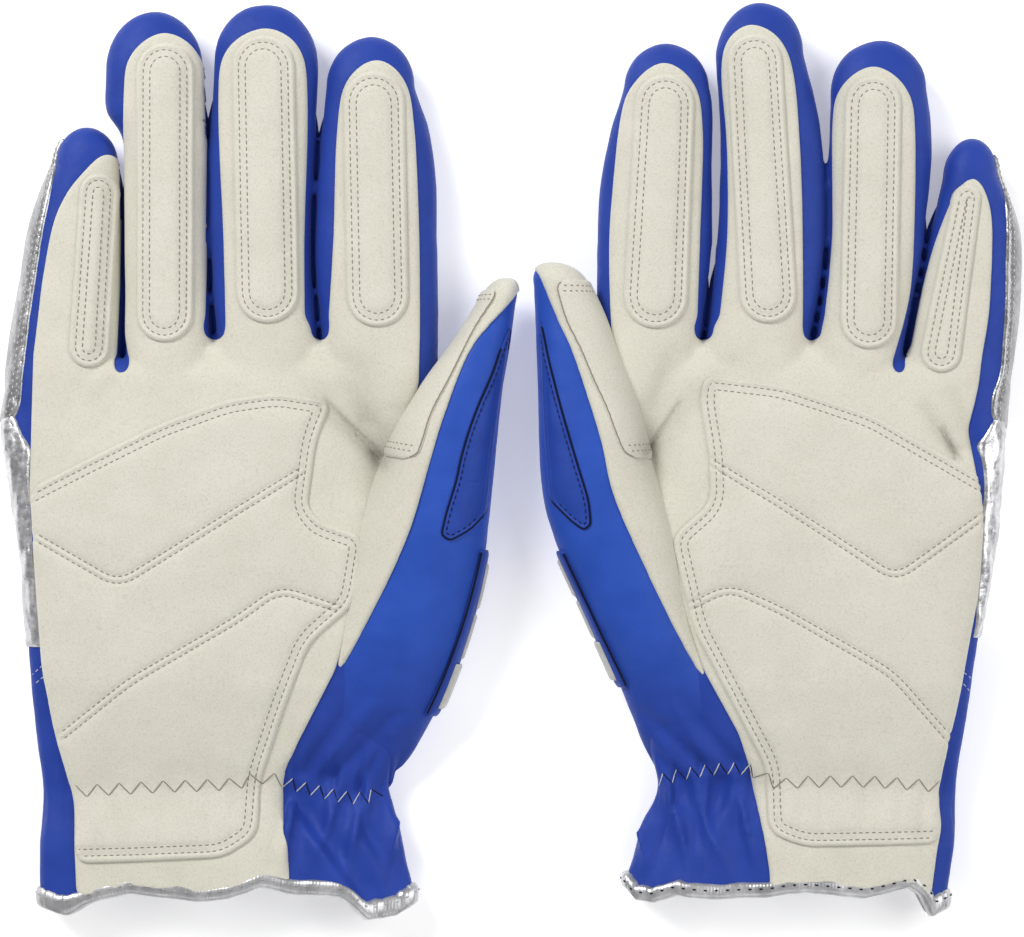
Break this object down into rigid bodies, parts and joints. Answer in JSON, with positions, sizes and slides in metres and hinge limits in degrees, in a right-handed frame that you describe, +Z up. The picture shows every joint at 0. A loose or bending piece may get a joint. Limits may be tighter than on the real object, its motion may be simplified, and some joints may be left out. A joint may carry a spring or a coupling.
{
  "type": "sailing gloves",
  "caption": "A pair of full-finger sailing gloves with suede palms and finger patches, blue synthetic backs, silver outer panels and a bound, gathered wrist, lying palms up.",
  "frame": {"origin": "centre of the pair's footprint, on the surface the gloves lie on", "axes": "+X from the right-hand glove to the left-hand glove, +Y from the cuffs to the fingertips, +Z up out of the palms"},
  "size_m": [0.2696, 0.245, 0.0214],
  "materials": {
    "suede": "pale warm grey synthetic suede, soft nap",
    "blue_synthetic": "royal blue brushed synthetic, matte to satin",
    "silver_leather": "crinkled silver foil leather",
    "grey_binding": "shiny grey woven binding tape",
    "elastic": "blue fabric gathered over an elastic, white zigzag thread",
    "badge": "moulded grey soft rubber with plain raised bars"
  },
  "bodies": {
    "left_hand_body": {"left_back_panel": "blue_synthetic", "left_cuff_binding": "grey_binding", "left_knuckle_badge": "badge", "left_outer_side_panel": "silver_leather", "left_palm_panel": "suede", "left_palm_reinforcement": "suede", "left_thumb_gusset": "blue_synthetic", "left_wrist_elastic": "elastic"},
    "left_index_base_body": {"left_index_base": "blue_synthetic", "left_index_base_patch": "suede"},
    "left_index_tip_body": {"left_index_tip": "blue_synthetic", "left_index_tip_patch": "suede"},
    "left_little_base_body": {"left_little_base": "blue_synthetic", "left_little_base_guard": "silver_leather", "left_little_base_patch": "suede"},
    "left_little_tip_body": {"left_little_tip": "blue_synthetic", "left_little_tip_guard": "silver_leather", "left_little_tip_patch": "suede"},
    "left_middle_base_body": {"left_middle_base": "blue_synthetic", "left_middle_base_patch": "suede"},
    "left_middle_tip_body": {"left_middle_tip": "blue_synthetic", "left_middle_tip_patch": "suede"},
    "left_ring_base_body": {"left_ring_base": "blue_synthetic", "left_ring_base_patch": "suede"},
    "left_ring_tip_body": {"left_ring_tip": "blue_synthetic", "left_ring_tip_patch": "suede"},
    "left_thumb_base_body": {"left_thumb_base": "blue_synthetic", "left_thumb_base_patch": "suede"},
    "left_thumb_tip_body": {"left_thumb_tip": "blue_synthetic", "left_thumb_tip_patch": "suede"},
    "right_hand_body": {"right_back_panel": "blue_synthetic", "right_cuff_binding": "grey_binding", "right_knuckle_badge": "badge", "right_outer_side_panel": "silver_leather", "right_palm_panel": "suede", "right_palm_reinforcement": "suede", "right_thumb_gusset": "blue_synthetic", "right_wrist_elastic": "elastic"},
    "right_index_base_body": {"right_index_base": "blue_synthetic", "right_index_base_patch": "suede"},
    "right_index_tip_body": {"right_index_tip": "blue_synthetic", "right_index_tip_patch": "suede"},
    "right_little_base_body": {"right_little_base": "blue_synthetic", "right_little_base_guard": "silver_leather", "right_little_base_patch": "suede"},
    "right_little_tip_body": {"right_little_tip": "blue_synthetic", "right_little_tip_guard": "silver_leather", "right_little_tip_patch": "suede"},
    "right_middle_base_body": {"right_middle_base": "blue_synthetic", "right_middle_base_patch": "suede"},
    "right_middle_tip_body": {"right_middle_tip": "blue_synthetic", "right_middle_tip_patch": "suede"},
    "right_ring_base_body": {"right_ring_base": "blue_synthetic", "right_ring_base_patch": "suede"},
    "right_ring_tip_body": {"right_ring_tip": "blue_synthetic", "right_ring_tip_patch": "suede"},
    "right_thumb_base_body": {"right_thumb_base": "blue_synthetic", "right_thumb_base_patch": "suede"},
    "right_thumb_tip_body": {"right_thumb_tip": "blue_synthetic", "right_thumb_tip_patch": "suede"}
  },
  "joints": [
    {"name": "left_glove_apart", "type": "slide", "parent": "right_hand_body", "child": "left_hand_body", "axis": [1, 0, 0], "range_m": [0, 0.15]},
    {"name": "right_little_base_hinge", "type": "hinge", "parent": "right_hand_body", "child": "right_little_base_body", "pos_m": [-0.12027, 0.0225, 0.019], "axis": [1, 0, 0], "range_deg": [0, 80]},
    {"name": "right_little_tip_hinge", "type": "hinge", "parent": "right_little_base_body", "child": "right_little_tip_body", "pos_m": [-0.12027, 0.0535, 0.019], "axis": [1, 0, 0], "range_deg": [0, 90]},
    {"name": "right_ring_base_hinge", "type": "hinge", "parent": "right_hand_body", "child": "right_ring_base_body", "pos_m": [-0.09377, 0.0306, 0.019], "axis": [1, 0, 0], "range_deg": [0, 80]},
    {"name": "right_ring_tip_hinge", "type": "hinge", "parent": "right_ring_base_body", "child": "right_ring_tip_body", "pos_m": [-0.09377, 0.0736, 0.019], "axis": [1, 0, 0], "range_deg": [0, 90]},
    {"name": "right_middle_base_hinge", "type": "hinge", "parent": "right_hand_body", "child": "right_middle_base_body", "pos_m": [-0.06657, 0.0315, 0.019], "axis": [1, 0, 0], "range_deg": [0, 80]},
    {"name": "right_middle_tip_hinge", "type": "hinge", "parent": "right_middle_base_body", "child": "right_middle_tip_body", "pos_m": [-0.06657, 0.0765, 0.019], "axis": [1, 0, 0], "range_deg": [0, 90]},
    {"name": "right_index_base_hinge", "type": "hinge", "parent": "right_hand_body", "child": "right_index_base_body", "pos_m": [-0.03557, 0.0312, 0.019], "axis": [1, 0, 0], "range_deg": [0, 80]},
    {"name": "right_index_tip_hinge", "type": "hinge", "parent": "right_index_base_body", "child": "right_index_tip_body", "pos_m": [-0.03557, 0.0722, 0.019], "axis": [1, 0, 0], "range_deg": [0, 90]},
    {"name": "right_thumb_base_hinge", "type": "hinge", "parent": "right_hand_body", "child": "right_thumb_base_body", "pos_m": [-0.02527, -0.021, 0.019], "axis": [-0.9542, 0.299, 0], "range_deg": [-50, 0]},
    {"name": "right_thumb_tip_hinge", "type": "hinge", "parent": "right_thumb_base_body", "child": "right_thumb_tip_body", "pos_m": [-0.01451, 0.01335, 0.019], "axis": [-0.9542, 0.299, 0], "range_deg": [-60, 0]},
    {"name": "left_little_base_hinge", "type": "hinge", "parent": "left_hand_body", "child": "left_little_base_body", "pos_m": [0.12007, 0.02181, 0.019], "axis": [0.9969, -0.0785, 0], "range_deg": [0, 80]},
    {"name": "left_little_tip_hinge", "type": "hinge", "parent": "left_little_base_body", "child": "left_little_tip_body", "pos_m": [0.12234, 0.05072, 0.019], "axis": [0.9969, -0.0785, 0], "range_deg": [0, 90]},
    {"name": "left_ring_base_hinge", "type": "hinge", "parent": "left_hand_body", "child": "left_ring_base_body", "pos_m": [0.09249, 0.0308, 0.019], "axis": [0.9969, -0.0785, 0], "range_deg": [0, 80]},
    {"name": "left_ring_tip_hinge", "type": "hinge", "parent": "left_ring_base_body", "child": "left_ring_tip_body", "pos_m": [0.09563, 0.07068, 0.019], "axis": [0.9969, -0.0785, 0], "range_deg": [0, 90]},
    {"name": "left_middle_base_hinge", "type": "hinge", "parent": "left_hand_body", "child": "left_middle_base_body", "pos_m": [0.06552, 0.03102, 0.019], "axis": [0.9969, -0.0785, 0], "range_deg": [0, 80]},
    {"name": "left_middle_tip_hinge", "type": "hinge", "parent": "left_middle_base_body", "child": "left_middle_tip_body", "pos_m": [0.06905, 0.07588, 0.019], "axis": [0.9969, -0.0785, 0], "range_deg": [0, 90]},
    {"name": "left_index_base_hinge", "type": "hinge", "parent": "left_hand_body", "child": "left_index_base_body", "pos_m": [0.03703, 0.03095, 0.019], "axis": [0.9969, -0.0785, 0], "range_deg": [0, 80]},
    {"name": "left_index_tip_hinge", "type": "hinge", "parent": "left_index_base_body", "child": "left_index_tip_body", "pos_m": [0.04017, 0.07083, 0.019], "axis": [0.9969, -0.0785, 0], "range_deg": [0, 90]},
    {"name": "left_thumb_base_hinge", "type": "hinge", "parent": "left_hand_body", "child": "left_thumb_base_body", "pos_m": [0.02653, -0.022, 0.019], "axis": [-0.9724, -0.2334, 0], "range_deg": [-50, 0]},
    {"name": "left_thumb_tip_hinge", "type": "hinge", "parent": "left_thumb_base_body", "child": "left_thumb_tip_body", "pos_m": [0.01766, 0.01495, 0.019], "axis": [-0.9724, -0.2334, 0], "range_deg": [-60, 0]}
  ]
}
